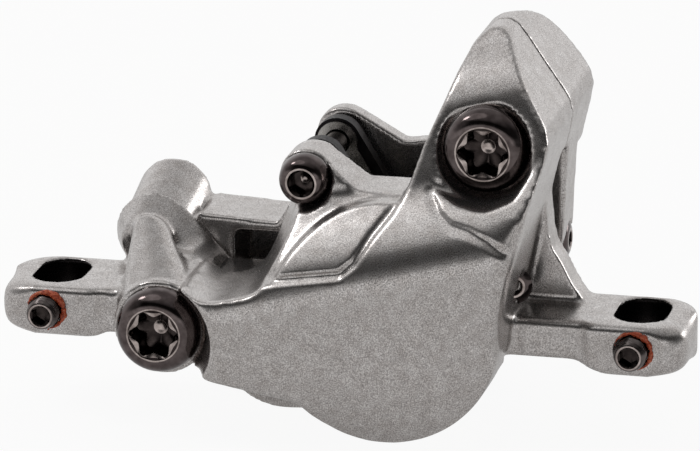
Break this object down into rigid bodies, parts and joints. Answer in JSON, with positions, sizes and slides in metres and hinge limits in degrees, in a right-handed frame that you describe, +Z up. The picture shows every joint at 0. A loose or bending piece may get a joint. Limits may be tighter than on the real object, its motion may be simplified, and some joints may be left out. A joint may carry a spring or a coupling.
{
  "type": "bicycle disc brake caliper",
  "caption": "Hydraulic bicycle disc brake caliper with a split cast body, opposed pistons, sprung pads, a pad pin and slotted post-mount ears.",
  "frame": {"origin": "midway between the centres of the two mounting slots, on the underside of the ears", "axes": "+X from the slot beside the rear bolt to the slot beside the tower, +Y inboard towards the wheel, +Z up along the mounting bolts, away from the posts"},
  "size_m": [0.0874, 0.0424, 0.0495],
  "materials": {
    "cast_body": "satin dark grey metallic coating with a fine speckle over cast and blasted aluminium",
    "black_steel": "glossy black-oxide steel with bright edges",
    "spring_steel": "bright rolled spring steel",
    "piston": "smooth moulded phenolic",
    "seal_rubber": "matt moulded rubber",
    "backing_steel": "stamped steel with a thin black coat",
    "friction": "pressed friction material with metal flecks"
  },
  "bodies": {
    "caliper": {"outboard_body": "cast_body", "inboard_body": "cast_body", "left_body_bolt": "black_steel", "right_body_bolt": "black_steel", "pad_pin": "black_steel", "pin_clip": "spring_steel", "outboard_piston_seal": "seal_rubber", "inboard_piston_seal": "seal_rubber", "passage_seal": "seal_rubber", "pad_spring": "spring_steel", "outboard_bleed_screw": "black_steel", "inboard_bleed_screw": "black_steel"},
    "outboard_piston": {"outboard_piston": "piston"},
    "inboard_piston": {"inboard_piston": "piston"},
    "outboard_pad": {"outboard_pad_backing": "backing_steel", "outboard_pad_friction": "friction"},
    "inboard_pad": {"inboard_pad_backing": "backing_steel", "inboard_pad_friction": "friction"},
    "left_set_screw": {"left_set_screw": "black_steel"},
    "right_set_screw": {"right_set_screw": "black_steel"}
  },
  "joints": [
    {"name": "outboard_piston_slide", "type": "slide", "parent": "caliper", "child": "outboard_piston", "axis": [0, 1, 0], "range_m": [-0.001, 0.001]},
    {"name": "inboard_piston_slide", "type": "slide", "parent": "caliper", "child": "inboard_piston", "axis": [0, -1, 0], "range_m": [-0.001, 0.001]},
    {"name": "outboard_pad_slide", "type": "slide", "parent": "caliper", "child": "outboard_pad", "axis": [0, 1, 0], "range_m": [-0.001, 0.001], "deforming": ["pad_spring"]},
    {"name": "inboard_pad_slide", "type": "slide", "parent": "caliper", "child": "inboard_pad", "axis": [0, -1, 0], "range_m": [-0.001, 0.001]},
    {"name": "left_set_screw_turn", "type": "slide", "parent": "caliper", "child": "left_set_screw", "axis": [0, 1, 0], "range_m": [-0.001, 0.0012]},
    {"name": "right_set_screw_turn", "type": "slide", "parent": "caliper", "child": "right_set_screw", "axis": [0, 1, 0], "range_m": [-0.001, 0.0012]}
  ],
  "couplings": [
    {"joint": "inboard_piston_slide", "follows": "outboard_piston_slide", "ratio": 1},
    {"joint": "outboard_pad_slide", "follows": "outboard_piston_slide", "ratio": 1},
    {"joint": "inboard_pad_slide", "follows": "outboard_piston_slide", "ratio": 1}
  ]
}
